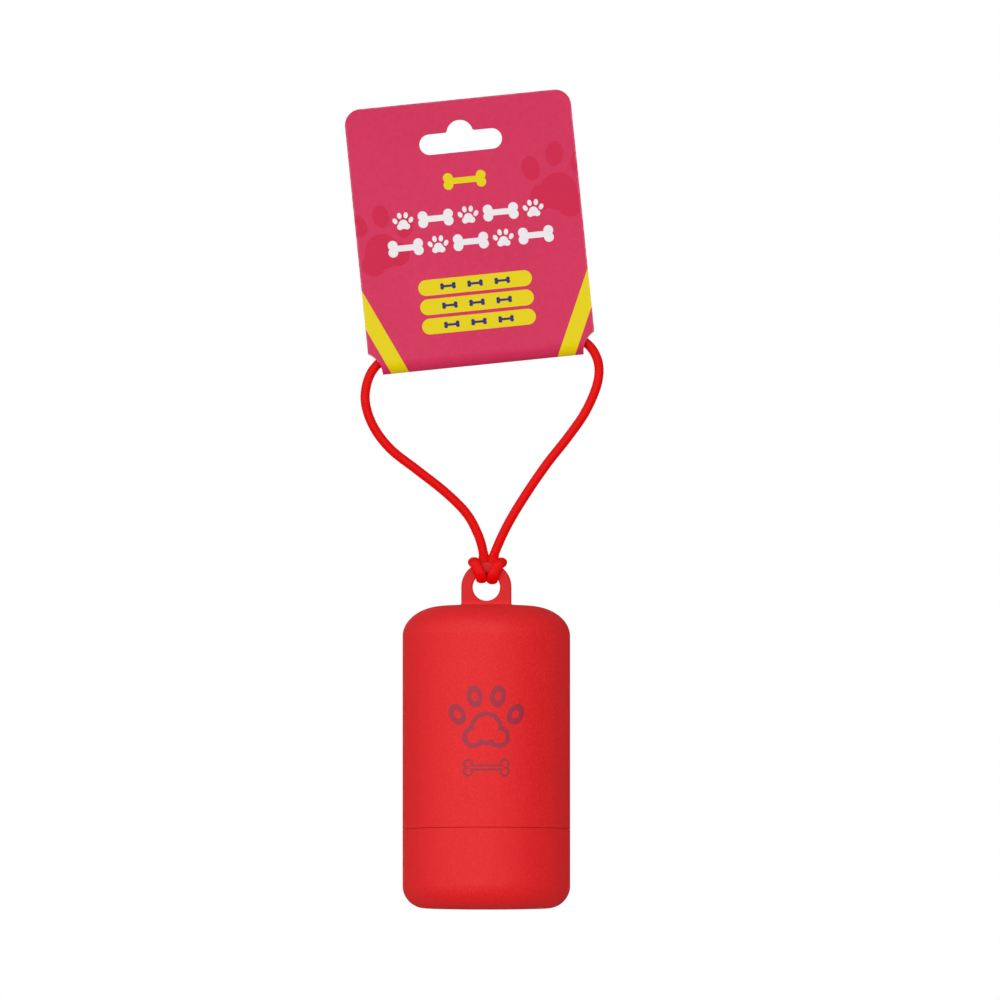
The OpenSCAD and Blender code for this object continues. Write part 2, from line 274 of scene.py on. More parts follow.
class Finish:
    """A material, built round one Principled shader, with its textures in the piece's frame."""

    def __init__(self, name, turn=0.0, **constants):
        self.material = bpy.data.materials.new(name)
        self.material.use_nodes = True
        self.tree = self.material.node_tree
        self.tree.nodes.clear()
        self.shader = self.tree.nodes.new("ShaderNodeBsdfPrincipled")
        self.out = self.tree.nodes.new("ShaderNodeOutputMaterial")
        self.tree.links.new(self.shader.outputs[0], self.out.inputs[0])
        self.set(**constants)
        self.turn = turn
        self.spot = self.place()

    def node(self, kind, settings=None, inputs=None, out=0):
        """One node: its settings come first, then the values or links of its sockets."""
        made = self.tree.nodes.new(kind)
        for name, value in (settings or {}).items():
            setattr(made, name, value)
        for name, value in (inputs or {}).items():
            self.feed(made.inputs[name], value)
        return Value(self, made.outputs[out])

    def feed(self, socket, value):
        if isinstance(value, Value):
            self.tree.links.new(value.socket, socket)
        else:
            socket.default_value = value

    def set(self, **sockets):
        for name, value in sockets.items():
            self.feed(self.shader.inputs[name.replace("_", " ")], value)

    def place(self, stretch=(1, 1, 1), lean=0.0):
        """The spot on the piece, in metres, stretched and then turned about Y."""
        return self.node("ShaderNodeMapping", None, {
            "Vector": self.node("ShaderNodeTexCoord", out="Object"),
            "Rotation": (0, self.turn + lean, 0), "Scale": stretch,
        })

    def parts(self):
        """The spot's x, y and z."""
        split = self.node("ShaderNodeSeparateXYZ", inputs={"Vector": self.spot})
        return [Value(self, split.socket.node.outputs[k]) for k in range(3)]

    def noise(self, scale, detail, roughness=0.5, distortion=0.0, place=None):
        return self.node("ShaderNodeTexNoise", None, {
            "Vector": place or self.spot, "Scale": scale, "Detail": detail,
            "Roughness": roughness, "Distortion": distortion,
        })

    def cells(self, scale):
        """How far the nearest cell's middle is."""
        return self.node(
            "ShaderNodeTexVoronoi", None, {"Vector": self.spot, "Scale": scale}, "Distance"
        )

    def mix(self, amount, first, second):
        """Two colours, blended."""
        return self.node(
            "ShaderNodeMix", {"data_type": "RGBA"}, {0: amount, 6: first, 7: second}, 2
        )

    def done(self, colour, roughness, height, depth):
        """The finished material: height is its relief, from 0 to 1, and depth how deep that is."""
        normal = self.node(
            "ShaderNodeBump", None, {"Height": height, "Distance": depth, "Strength": 1.0}
        )
        self.set(Base_Color=colour, Roughness=roughness, Normal=normal)
        return self.material


def shade(colour, factor):
    """A colour made lighter or darker."""
    return tuple(min(1.0, c * factor) for c in colour[:3]) + (1,)


# ---- finishes ----

def moulded_red(name, badge=False):
    """Fine matte moulding: a spark-eroded grain whose pale flecks are partly painted glints, with
    faint flow clouds, handling marks, and with the badge a painted shade on the ear.
    """
    colour = paint(243, 27, 32)
    finish = Finish(name, Specular_IOR_Level=0.1)
    grain = finish.noise(1900, 3, 0.66)
    pits = finish.cells(3300).within(0.12, 0.55)
    cloud = finish.noise(70, 3)
    rubbed = finish.noise(240, 4, 0.6, place=finish.place((1, 1, 0.35), 0.4)).within(0.56, 0.74)
    body = finish.mix(cloud.within(0.3, 0.7), shade(colour, 0.965), shade(colour, 1.02))
    body = finish.mix(grain.within(0.3, 0.7), shade(colour, 0.95), body)
    # Pale flecks in the grain: partly the grain's own tone, partly painted glints of light off its
    # tiny facets
    body = finish.mix(grain.within(0.45, 0.75) * 0.34, body, paint(249, 68, 66))
    body = finish.mix(rubbed * 0.08, body, paint(246, 66, 64))
    roughness = 0.56 + (cloud - 0.5) * 0.12 - rubbed * 0.06 + grain * 0.08
    height = grain * 0.7 + pits * 0.3
    if badge:
        x, y, z = finish.parts()
        # Painted shade: the ear above the crown is a shade deeper than the walls, for the lesser
        # light that falls on it
        ear_shade_height = z * 1000 - (CASE_FOOT.z + CASE_H) * 1000
        body = finish.mix(ear_shade_height.within(0.2, 1.2) * 0.9, body, shade(colour, 0.82))
        ink = badge_print(x, y, z)
        body = finish.mix(ink * (0.7 + grain * 0.3), body, paint(150, 44, 66))
        roughness = roughness - ink * 0.1
        height = height + ink * 0.25
    return finish.done(body, roughness, height, 0.03 * MM)


def badge_print(x, y, z):
    """Where the ink of the front's pad print lies: a paw in outline over a small bone."""
    badge_up = 46.5
    paw_line, bone_line = 0.6, 0.3  # half of each outline's width
    u, v = (x - CASE_FOOT.x) * 1000, (z - CASE_FOOT.z) * 1000 - badge_up
    line = abs(paw(u, v, 0, 1.2, 12) + paw_line) - paw_line
    line = line.least(abs(bone(u, v, -11, 4.2, 1.35) + bone_line) - bone_line)
    return inside(line) * (y < 0)


def braided_yarn():
    """Round polyester braid: fine filaments along each yarn, with painted shade down between the
    yarns.
    """
    finish = Finish("braided_yarn", Specular_IOR_Level=0.05)
    valley_shade = finish.node("ShaderNodeAttribute", {"attribute_name": "valley_shade"}, out="Fac")
    fibre = finish.noise(5200, 2, 0.6)
    dye = finish.noise(260, 2)
    body = finish.mix(dye.within(0.3, 0.7), paint(254, 0, 0), paint(255, 5, 2))
    # Painted shade: a darker red down between the yarns, where shade falls
    body = finish.mix(valley_shade * 0.7, body, paint(186, 0, 2))
    body = finish.mix(fibre.within(0.35, 0.7) * 0.15, body, paint(255, 30, 16))
    return finish.done(body, 0.5 + fibre * 0.2, fibre, 0.012 * MM)


def inside(shape):
    """1 inside a shape, 0 outside it, from the signed distance to its edge."""
    return shape.within(0.05, -0.05)


def spot(u, v, x, z, radius):
    """Signed distance in mm from a round spot's edge, negative inside."""
    du, dv = u - x, v - z
    return (du * du + dv * dv).root() - radius


def oval(u, v, x, z, radius, tall, lean):
    """A leaning oval: the distance is only near enough for a clean edge."""
    du, dv = u - x, v - z
    c, s = math.cos(lean), math.sin(lean)
    a, b = du * c + dv * s, (dv * c - du * s) * (1 / tall)
    return (a * a + b * b).root() - radius


def bar(u, v, z, half, radius):
    """A level bar with round ends."""
    du, dv = (abs(u) - half).most(0.0), v - z
    return (du * du + dv * dv).root() - radius


def paw(u, v, x, z, size, lean=0.0):
    """A generic paw print: a three-lobed pad and four toes."""
    c, s = math.cos(lean), math.sin(lean)

    def at(dx, dz):
        return x + size * (dx * c - dz * s), z + size * (dx * s + dz * c)

    shape = spot(u, v, *at(0, -0.18), 0.36 * size)
    for dx, dz in ((-0.27, -0.36), (0.27, -0.36)):
        shape = shape.least(spot(u, v, *at(dx, dz), 0.24 * size))
    toes = ((-0.62, 0.12, 0.5), (-0.25, 0.5, 0.15), (0.25, 0.5, -0.15), (0.62, 0.12, -0.5))
    for dx, dz, turn in toes:
        shape = shape.least(oval(u, v, *at(dx, dz), 0.17 * size, 1.4, turn + lean))
    return shape


def bone(u, v, z, half, size):
    """A generic biscuit bone, level: a bar with two round knobs at each end."""
    shape = bar(u, v, z, half, 0.62 * size)
    for end in (-1, 1):
        for side in (-1, 1):
            knob = end * (half + 0.35 * size), z + side * 0.72 * size
            shape = shape.least(spot(u, v, *knob, size))
    return shape


def printed_board():
    """The card's outside: flat inks with a satin coat on fibre board."""
    finish = Finish("printed_board", CARD_TILT, Specular_IOR_Level=0.06)
    x, _, z = finish.parts()
    u, v = x * 1000, z * 1000
    pink, deep = paint(220, 48, 91), paint(216, 32, 74)
    light, yellow = paint(227, 54, 99), paint(243, 220, 0)
    mottle = finish.noise(900, 3, 0.6)
    wash = finish.noise(26, 2)
    ground = finish.mix(wash.within(0.3, 0.75), pink, light)
    speck = finish.cells(1500).within(0.05, 0.16)
    ground = finish.mix((1 - speck) * 0.16, ground, paint(236, 170, 190))
    ground = finish.mix(mottle.within(0.35, 0.65) * 0.15, ground, shade(pink, 0.62))

    # Large darker paws run off both sides, and a yellow band crosses each lower corner
    tone = paw(u, v, -23.5, -24, 12.5, 0.3).least(paw(u, v, 24.5, -13, 13.5, -0.35))
    inks = finish.mix(inside(tone) * 0.9, ground, deep)
    band_out, band_half = 43.3, 2.05
    slope = abs(u) * 0.91 - v * 0.413
    inks = finish.mix(inside(abs(slope - band_out) - band_half), inks, yellow)
    inks = finish.mix(inside(bone(u, v, -9.9, 3.8, 1.25)), inks, yellow)

    # Two rows of white bones and paws take turns, the upper row half a step along
    step, lower_row, row_gap, row_half = 16.8, -25.8, 6.8, 21.8
    upper = v > lower_row + row_gap / 2
    row = v - lower_row - upper * row_gap
    turn = u + upper * (step / 2)
    from_bone, from_paw = turn.repeated(step), (turn + step / 2).repeated(step)
    marks = bone(from_bone, row, 0, 2.85, 1.25).least(paw(from_paw, row, 0, -0.1, 3.3))
    title_ink = inside(marks) * (abs(u) < row_half - upper * 1.7)
    inks = finish.mix(title_ink, inks, paint(252, 247, 249))

    # Three plain bars, each with three small dark bones
    top, bar_gap, bone_gap = -36.6, 5, 7
    bars = [bar(u, v, top - n * bar_gap, 12.6, 2.05) for n in range(3)]
    inks = finish.mix(inside(bars[0].least(bars[1]).least(bars[2])), inks, yellow)
    small = inside(bone(u.repeated(bone_gap), (v - top).repeated(bar_gap), 0, 1.35, 0.5))
    small = small * (v < top + 0.5 * bar_gap) * (v > top - 2.5 * bar_gap)
    inks = finish.mix(small * (abs(u) < 1.5 * bone_gap), inks, paint(52, 40, 104))

    worn = abs(u).within(28.7, 29.2).most(v.within(10.5, 10.9)) * mottle.within(0.4, 0.6)
    inks = finish.mix(worn * 0.3, inks, paint(244, 226, 230))
    fibre = finish.noise(700, 4, 0.62, place=finish.place((1, 1, 2.4)))
    return finish.done(inks, 0.47 + mottle * 0.12 + title_ink * 0.04, fibre, 0.02 * MM)


def board_fibre(name, colour, fleck):
    """Bare board: felted fibres, with flecks of darker pulp."""
    finish = Finish(name, Specular_IOR_Level=0.2)
    felt = finish.noise(1400, 5, 0.68, 0.6)
    flecks = finish.noise(3200, 2).within(0.64, 0.72)
    body = finish.mix(felt.within(0.3, 0.7), shade(colour, 0.9), colour)
    body = finish.mix(flecks * 0.5, body, fleck)
    return finish.done(body, 0.78 + felt * 0.15, felt, 0.03 * MM)


def spiral_board():
    """The core's board: wound on a slant, with a fine open seam that climbs round it."""
    finish = Finish("spiral_board", Specular_IOR_Level=0.2)
    x, y, z = finish.parts()
    turn = (y - CASE_FOOT.y).turn_over(x - CASE_FOOT.x)
    pitch = 22 * MM
    climb = (z * (TAU / pitch) - turn) * 0.5
    seam = (1 - abs(climb.sine())).within(0.988, 0.998)
    felt = finish.noise(1500, 5, 0.66, 0.5)
    body = finish.mix(felt.within(0.3, 0.7), paint(176, 141, 101), paint(203, 170, 128))
    body = finish.mix(seam * 0.7, body, paint(112, 84, 56))
    return finish.done(body, 0.8 + felt * 0.14, felt * 0.4 - seam, 0.05 * MM)


def thin_film():
    """Folded bag film: waxy, with fine drawn lines round the roll and faint cloudy thickness."""
    finish = Finish("thin_film", Specular_IOR_Level=0.5)
    drawn = finish.noise(700, 3, 0.6, 0.4, finish.place((0.22, 0.22, 1.5)))
    cloud = finish.noise(130, 3, 0.55)
    fine = finish.noise(2400, 2)
    body = finish.mix(cloud.within(0.3, 0.7), paint(30, 122, 82), paint(40, 138, 96))
    body = finish.mix(drawn.within(0.5, 0.75) * 0.22, body, paint(104, 184, 146))
    roughness = 0.32 + drawn * 0.14 + fine * 0.06
    return finish.done(body, roughness, drawn * 0.7 + fine * 0.3, 0.03 * MM)


def natural_moulding():
    """Undyed moulding, slightly milky, with fine tool marks round it."""
    finish = Finish("natural_moulding", Specular_IOR_Level=0.4)
    milk = finish.noise(150, 3)
    tool = finish.noise(900, 2, place=finish.place((0.15, 0.15, 3)))
    body = finish.mix(milk.within(0.3, 0.7), paint(226, 226, 220), paint(238, 238, 234))
    return finish.done(body, 0.42 + milk * 0.1 + tool * 0.06, tool, 0.02 * MM)


def plated_sleeve():
    """Soft aluminium sleeve: drawn lines along it and small dull dents."""
    finish = Finish("plated_sleeve", Metallic=1.0)
    drawn = finish.noise(900, 3, 0.6, place=finish.place((0.08, 3, 3)))
    dull = finish.noise(500, 3, 0.6)
    body = finish.mix(drawn.within(0.3, 0.7), paint(196, 197, 200), paint(222, 223, 226))
    body = finish.mix(dull.within(0.6, 0.75) * 0.4, body, paint(150, 151, 155))
    return finish.done(body, 0.3 + dull * 0.2, drawn * 0.5 + dull * 0.5, 0.02 * MM)


def dried_glue():
    """Pale yellowish glue, with a wrinkled skin and small drops."""
    finish = Finish("dried_glue", Specular_IOR_Level=0.5)
    skin = finish.noise(380, 3, 0.6, 0.5)
    drop = finish.cells(900).within(0.0, 0.5)
    body = finish.mix(skin, paint(232, 224, 196), paint(244, 240, 222))
    return finish.done(body, 0.35 + skin * 0.25, skin * 0.6 + drop * 0.4, 0.05 * MM)


def studio_floor():
    """Pale matte floor that shows nothing of its underside."""
    finish = Finish("studio_floor", Specular_IOR_Level=0.2, Emission_Strength=0.5)
    tone = finish.noise(6, 2)
    pale = finish.mix(tone, paint(236, 236, 235), paint(240, 240, 239))
    finish.set(Base_Color=pale, Roughness=0.7 + tone * 0.1, Emission_Color=pale)
    pick = finish.node("ShaderNodeMixShader", None, {
        0: finish.node("ShaderNodeNewGeometry", out="Backfacing"),
        1: Value(finish, finish.shader.outputs[0]),
        2: finish.node("ShaderNodeBsdfTransparent"),
    })
    finish.feed(finish.out.inputs[0], pick)
    return finish.material


# ---- mesh tools ----

def as_piece(mesh, *finishes):
    """The mesh as an object of the same name in the scene."""
    piece = bpy.data.objects.new(mesh.name, mesh)
    for finish in finishes:
        mesh.materials.append(finish)
    bpy.context.scene.collection.objects.link(piece)
    return piece


def mesh_of(name, points, faces):
    """A mesh with its doubled points joined and its faces turned outward."""
    mesh = bpy.data.meshes.new(name)
    mesh.from_pydata([tuple(p) for p in points], [], faces)
    mesh.validate()
    body = bmesh.new()
    body.from_mesh(mesh)
    bmesh.ops.remove_doubles(body, verts=body.verts, dist=1e-8)
    bmesh.ops.recalc_face_normals(body, faces=body.faces)
    body.to_mesh(mesh)
    body.free()
    return mesh


def smooth_over(mesh, sharp=38):
    """Smooth shading, with hard lines only where faces meet at more than this angle."""
    mesh.polygons.foreach_set("use_smooth", [True] * len(mesh.polygons))
    mesh.set_sharp_from_angle(angle=math.radians(sharp))


def settled(piece):
    """The piece's modifiers, made into its mesh."""
    graph = bpy.context.evaluated_depsgraph_get()
    mesh = bpy.data.meshes.new_from_object(piece.evaluated_get(graph))
    old = piece.data
    piece.modifiers.clear()
    piece.data = mesh
    bpy.data.meshes.remove(old)
    return piece


def combined(piece, mesh, how):
    """Adds another solid to the piece or cuts it away."""
    other = as_piece(mesh)
    change = piece.modifiers.new("combine", "BOOLEAN")
    change.operation = how
    change.solver = "MANIFOLD"
    change.object = other
    settled(piece)
    bpy.data.objects.remove(other)


def even_shading(piece):
    """Lets the large faces of a moulding stay flat and its small round edges take the turn."""
    smooth_over(piece.data)
    change = piece.modifiers.new("even", "WEIGHTED_NORMAL")
    change.mode = "FACE_AREA"
    change.weight = 60
    change.keep_sharp = True
    return settled(piece)


def bow(cx, cy, rx, ry, first, last, steps):
    """Points of an elliptical arc, in degrees."""
    angles = np.radians(np.linspace(first, last, steps + 1))
    return [(cx + rx * math.cos(a), cy + ry * math.sin(a)) for a in angles]


def eased(corners, steps=4):
    """An outline with its corners rounded; a corner is (x, y) or (x, y, radius)."""
    out = []
    for i, corner in enumerate(corners):
        here = Vector(corner[:2])
        if len(corner) == 2:
            out.append(tuple(here))
            continue
        to_last = Vector(corners[i - 1][:2]) - here
        to_next = Vector(corners[(i + 1) % len(corners)][:2]) - here
        half = to_last.angle(to_next) / 2
        reach = min(corner[2] / math.tan(half), 0.48 * to_last.length, 0.48 * to_next.length)
        radius = reach * math.tan(half)
        back, ahead = to_last.normalized(), to_next.normalized()
        centre = here + (back + ahead).normalized() * (radius / math.sin(half))
        start, end = here + back * reach - centre, here + ahead * reach - centre
        sweep = start.angle_signed(end)
        for k in range(steps + 1):
            out.append(tuple(centre + Matrix.Rotation(-sweep * k / steps, 2) @ start))
    return out


def turned(name, outline, sides=128):
    """A solid of revolution about the case's axis: a closed outline of (radius, height)."""
    points, faces, rings = [], [], []
    for radius, height in outline:
        count = 1 if abs(radius) < 1e-7 else sides
        rings.append([len(points) + k for k in range(count)])
        turns = [TAU * k / sides for k in range(count)]
        points += [(radius * math.cos(a), radius * math.sin(a), height) for a in turns]
    for ring, other in zip(rings, rings[1:] + rings[:1]):
        for k in range(sides):
            round_face = (ring, k), (ring, k + 1), (other, k + 1), (other, k)
            corners = list(dict.fromkeys(r[i % len(r)] for r, i in round_face))
            if len(corners) > 2:
                faces.append(corners)
    return lift(mesh_of(name, points, faces), CASE_FOOT)


def ring_faces(rings, count, capped=True):
    """The faces of a skin over so many rings with count points each."""
    faces = []
    for a in range(0, (rings - 1) * count, count):
        b = a + count
        for k in range(count):
            n = (k + 1) % count
            faces.append((a + k, a + n, b + n, b + k))
    if capped:
        faces.append(tuple(range(count))[::-1])
        faces.append(tuple(range((rings - 1) * count, rings * count)))
    return faces


def lofted(name, rings, capped=True):
    """A closed skin over rings of points that all have the same count."""
    points = [p for ring in rings for p in ring]
    return mesh_of(name, points, ring_faces(len(rings), len(rings[0]), capped))


def marks_along(line):
    """How far along the line each of its points is."""
    steps = np.linalg.norm(np.diff(line, axis=0), axis=1)
    return np.concatenate([[0], np.cumsum(steps)])


def lift(mesh, by):
    mesh.transform(Matrix.Translation(by))
    return mesh


# ---- cords ----

BRAID_STEP = 0.14 * MM
BRAID_SIDES = 60
BRAID_YARNS = 12
BRAID_PITCH = 9.5 * MM
BRAID_RELIEF = 0.055 * MM
BRAID_OVER = 0.35  # how much the upper yarn stands up at a crossing


def braid(name, path, marks, along, sides_at, squeeze=None):
    """A round braid along a path: two sets of yarns that climb opposite ways, over and under.

    sides_at is each step's side direction, and squeeze gives the directions in which the cord
    is pressed there, with how much.
    """
    angles = np.linspace(0, TAU, BRAID_SIDES, endpoint=False)
    points, valley_shades = [], []
    for centre, ahead, mark, side in zip(path, along, marks, sides_at):
        across = np.cross(ahead, side)
        climb = TAU * mark / BRAID_PITCH
        left, right = BRAID_YARNS * (angles - climb), BRAID_YARNS * (angles + climb)
        over = np.cos((left + right) / 2)
        hump_left = np.sqrt(0.5 + 0.5 * np.cos(left)) + BRAID_OVER * over
        hump_right = np.sqrt(0.5 + 0.5 * np.cos(right)) - BRAID_OVER * over
        hump = np.maximum(hump_left, hump_right)
        # How much painted shade each point takes, darkest between the yarns
        valley_shades.extend(np.clip((1.05 - hump) / 0.55, 0, 1))  # 0 on a yarn, 1 between yarns
        radius = CORD_R + BRAID_RELIEF * (hump - 1.3)
        ring = radius[:, None] * (
            np.cos(angles)[:, None] * side + np.sin(angles)[:, None] * across
        )
        for amount, press in (squeeze(centre) if squeeze else ()):
            press = press - ahead * press.dot(ahead)
            press /= max(np.linalg.norm(press), 0.2)
            spread = np.cross(ahead, press)
            ring = ring - amount * (ring @ press)[:, None] * press
            ring = ring + 0.9 * amount * (ring @ spread)[:, None] * spread
        points.extend(centre + ring)
    mesh = bpy.data.meshes.new(name)
    mesh.from_pydata([tuple(p) for p in points], [], ring_faces(len(path), BRAID_SIDES))
    layer = mesh.attributes.new("valley_shade", "FLOAT", "POINT")
    layer.data.foreach_set("value", np.array(valley_shades, np.float32))
    mesh.polygons.foreach_set("use_smooth", [True] * len(mesh.polygons))
    return mesh


def closed_cord():
    """The whole cord as one closed line: its points, how far along they are, its headings and
    untwisted side directions, and the point at which the loop ends and the hitch begins."""
    fine = 24  # points of the line from one point of the route to the next
    hitch = [tuple(EAR_HOLE / MM + Vector(p)) for p in HITCH_RIGHT[1:] + HITCH_LEFT[:0:-1]]
    route = np.array(LOOP_ROUTE + hitch) * MM
    count = len(route)
    line = []
    for k in range(count):
        a, b, c, d = (route[(k + i) % count] for i in (-1, 0, 1, 2))
        for t in np.linspace(0, 1, fine, endpoint=False):
            line.append(0.5 * (
                2 * b + (c - a) * t + (2 * a - 5 * b + 4 * c - d) * t * t
                + (3 * b - a - 3 * c + d) * t * t * t
            ))
    line = np.array(line + line[:1])
    turn = fine * (len(LOOP_ROUTE) - 1)
    loop, hitch = stepped(line[: turn + 1]), stepped(line[turn:])
    path = np.concatenate([loop, hitch[1:]])
    around = np.concatenate([path[-2:-1], path, path[1:2]])
    along = around[2:] - around[:-2]
    along /= np.linalg.norm(along, axis=1)[:, None]
    sides = [np.cross(along[0], (0, 1, 0))]
    for ahead in along:
        side = sides[-1] - ahead * sides[-1].dot(ahead)
        sides.append(side / np.linalg.norm(side))
    sides = np.array(sides[1:])
    # The last side direction is turned back to the first, a little at each point
    across = np.cross(along[0], sides[0])
    twist = math.atan2(sides[-1].dot(across), sides[-1].dot(sides[0]))
    for k in range(len(path)):
        a = -twist * k / (len(path) - 1)
        sides[k] = math.cos(a) * sides[k] + math.sin(a) * np.cross(along[k], sides[k])
    # A whole number of crossings, so that the braid meets itself
    marks = marks_along(path)
    turns = round(marks[-1] / BRAID_PITCH * BRAID_YARNS)
    marks *= turns * BRAID_PITCH / BRAID_YARNS / marks[-1]
    return path, marks, along, sides, len(loop) - 1


def stepped(line):
    """The same line with points an even step apart."""
    lengths = marks_along(line)
    marks = np.linspace(0, lengths[-1], round(lengths[-1] / BRAID_STEP) + 1)
    return np.stack([np.interp(marks, lengths, line[:, k]) for k in range(3)], axis=1)


def pressed_hitch(centre):
    """Pulled tight, the hitch is pressed flat against the arch of the ear that it goes round."""
    arch_up, arch_r, arch_reach, behind_y = 5, 2.8, 1.6, 5.4
    _, y, z = (Vector(centre) - EAR_HOLE) / MM
    away = math.hypot(y, z - arch_up)
    round_arch = math.exp(-((away - arch_r) / arch_reach) ** 4)
    behind = math.exp(-(y - behind_y) ** 2)
    return (
        (0.24 * round_arch * (1 - behind), np.array((0, y, z - arch_up)) / max(away, 0.1)),
        (0.12 * behind, np.array((0, 1.0, 0))),
    )


def make_cords():
    yarn = braided_yarn()
    *course, turn = closed_cord()
    path, loop_part, hitch_part = course[0], slice(0, turn + 1), slice(turn, None)
    loop = as_piece(braid("tether_loop", *(v[loop_part] for v in course)), yarn)
    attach(loop, "loop")
    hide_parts("tether_cord")

    hitch_course = (v[hitch_part] for v in course)
    hitch = as_piece(braid("hitch_knot", *hitch_course, pressed_hitch), yarn)
    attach(hitch, "loop")
    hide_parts("cord_hitch")

    sleeve = make_sleeve()


def make_sleeve():
    """A thin metal sleeve, crimped flat in two places over the cord's joined ends."""
    route = [Vector(p) * MM for p in LOOP_ROUTE]
    middle = route[SLEEVE_AT]
    ahead = (route[SLEEVE_AT + 1] - route[SLEEVE_AT - 1]).normalized()
    depth = Vector((0, 1, 0))
    rise = ahead.cross(depth)
    half, skin, bore = SLEEVE_L / 2, SLEEVE_R - 0.02 * MM, CORD_R + 0.06 * MM
    section = eased([
        (-half, skin, 0.2 * MM), (half, skin, 0.2 * MM),
        (half, bore, 0.08 * MM), (-half, bore, 0.08 * MM),
    ])
    fine = []
    for (x0, r0), (x1, r1) in zip(section, section[1:] + section[:1]):
        parts = max(1, round(abs(x1 - x0) / (0.25 * MM)))
        fine += [(x0 + (x1 - x0) * i / parts, r0 + (r1 - r0) * i / parts) for i in range(parts)]
    sides, rings = 64, []
    crimps, crimp_reach, crimp_depth = (-3.2 * MM, 3.2 * MM), 1.1 * MM, 0.26 * MM
    for x, radius in fine:
        pinch = sum(math.exp(-((x - crimp) / crimp_reach) ** 2) for crimp in crimps)
        ring = []
        for k in range(sides):
            a = TAU * k / sides
            dent = crimp_depth * pinch * abs(math.sin(a)) ** 3
            r = radius - min(dent, radius - CORD_R + 0.1 * MM) * 0.8
            ring.append(middle + ahead * x + rise * r * math.cos(a) + depth * r * math.sin(a))
        rings.append(ring)
    rings.append(rings[0])
    piece = as_piece(lofted("crimped_sleeve", rings, capped=False), plated_sleeve())
    smooth_over(piece.data, 50)
    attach(piece, "loop")
    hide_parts("cord_sleeve")
    return piece


# ---- shell ----

def thread_ridge(wall, way, z, sweep):
    """One ridge of the right-hand thread along its helix, run out to nothing at both ends."""
    begin, run_out, sunk = -48, 0.12, 0.3 * MM
    root, crest = wall - way * sunk, wall + way * RIDGE_H
    steps = int(sweep / 2.5)
    rings = []
    for k in range(steps + 1):
        t = k / steps
        turn = begin + sweep * t
        a = math.radians(turn)
        climb = z + THREAD_LEAD * turn / 360
        near = min(t, 1 - t)
        full = math.sin(near * math.pi / 2 / run_out) if near < run_out else 1
        top = root + (crest - root) * (0.25 + 0.75 * full)
        section = eased([
            (root, -THREAD_W / 2), (top, -THREAD_W / 4, 0.16 * MM),
            (top, THREAD_W / 4, 0.16 * MM), (root, THREAD_W / 2),
        ], 3)
        rings.append([(r * math.cos(a), r * math.sin(a), climb + h) for r, h in section])
    return lofted("ridge", rings)


def add_thread(piece, wall, way, z, sweep):
    """The thread's two starts, outside a wall when way is 1 and inside it when way is -1."""
    for start in (0, 180):
        ridge = thread_ridge(wall, way, z, sweep)
        ridge.transform(Matrix.Rotation(math.radians(start), 4, "Z"))
        combined(piece, lift(ridge, CASE_FOOT), "UNION")


def ear_solid():
    """The flat ear: a plate with a round top and softened rims, about the centre of its hole."""
    soft = 0.5 * MM
    foot = -EAR_HOLE_UP - 0.6 * MM
    rings = []
    for side in (-1, 1):
        for turn in np.linspace(0, math.pi / 2, 6)[::side]:
            y = side * (EAR_T / 2 - soft + soft * math.sin(turn))
            radius = EAR_W / 2 - soft * (1 - math.cos(turn))
            outline = [(radius, foot), *bow(0, 0, radius, radius, 0, 180, 64), (-radius, foot)]
            rings.append([(x, y, z) for x, z in outline])
    return lift(lofted("ear", rings), EAR_HOLE)


def ear_skirt():
    """The small round where the ear's foot runs out on to the crown."""
    flare, soft, sunk = 0.2 * MM, 0.5 * MM, 0.02 * MM
    rings = []
    for height, grow in [(-soft, flare), *bow(flare, flare - sunk, -flare, -flare, 0, 90, 7)]:
        ring, r = [], soft + grow
        for qx, qy, first in ((1, 1, 0), (-1, 1, 90), (-1, -1, 180), (1, -1, 270)):
            cx, cy = qx * (EAR_W / 2 - soft), qy * (EAR_T / 2 - soft)
            ring += [
                (x, y, height - EAR_HOLE_UP) for x, y in bow(cx, cy, r, r, first, first + 90, 6)
            ]
        rings.append(ring)
    return lift(lofted("ear_skirt", rings), EAR_HOLE)


def ear_bore():
    """What the hole takes away, flared at both faces for a round rim."""
    flare, half = 0.5 * MM, EAR_T / 2
    side = bow(half - flare, EAR_HOLE_R + flare, flare, flare, -90, 0, 6)
    side.append((half + 1 * MM, EAR_HOLE_R + flare + 0.02 * MM))
    rings = [
        [(x, y, z) for x, z in bow(0, 0, r, r, 0, 360, 96)[:-1]]
        for y, r in [(-y, r) for y, r in side[::-1]] + side
    ]
    return lift(lofted("ear_bore", rings), EAR_HOLE)


def slot_cutter():
    """What the bag slot takes away: straight sides, flared to a round rim outside and inside."""
    flare, inner = 0.6 * MM, CASE_R - CASE_WALL
    sections = [
        (inner - 3 * MM, 0.5 * MM), (inner, 0.4 * MM), (inner + 0.15 * MM, 0.15 * MM),
        (inner + 0.4 * MM, 0), *bow(CASE_R - flare, flare, flare, flare, -90, 0, 6),
        (CASE_R + 2 * MM, flare + 0.1 * MM),
    ]
    rings = []
    for radius, grow in sections:
        ring, r = [], SLOT_W / 2 + grow
        for end, first in ((1, 0), (-1, 180)):
            middle = SLOT_UP + end * (SLOT_L - SLOT_W) / 2
            for x, z in bow(0, middle, r, r, first, first + 180, 36):
                ring.append((x, math.sqrt(radius ** 2 - x ** 2), z))
        rings.append(ring)
    return lift(lofted("slot_cutter", rings), CASE_FOOT)


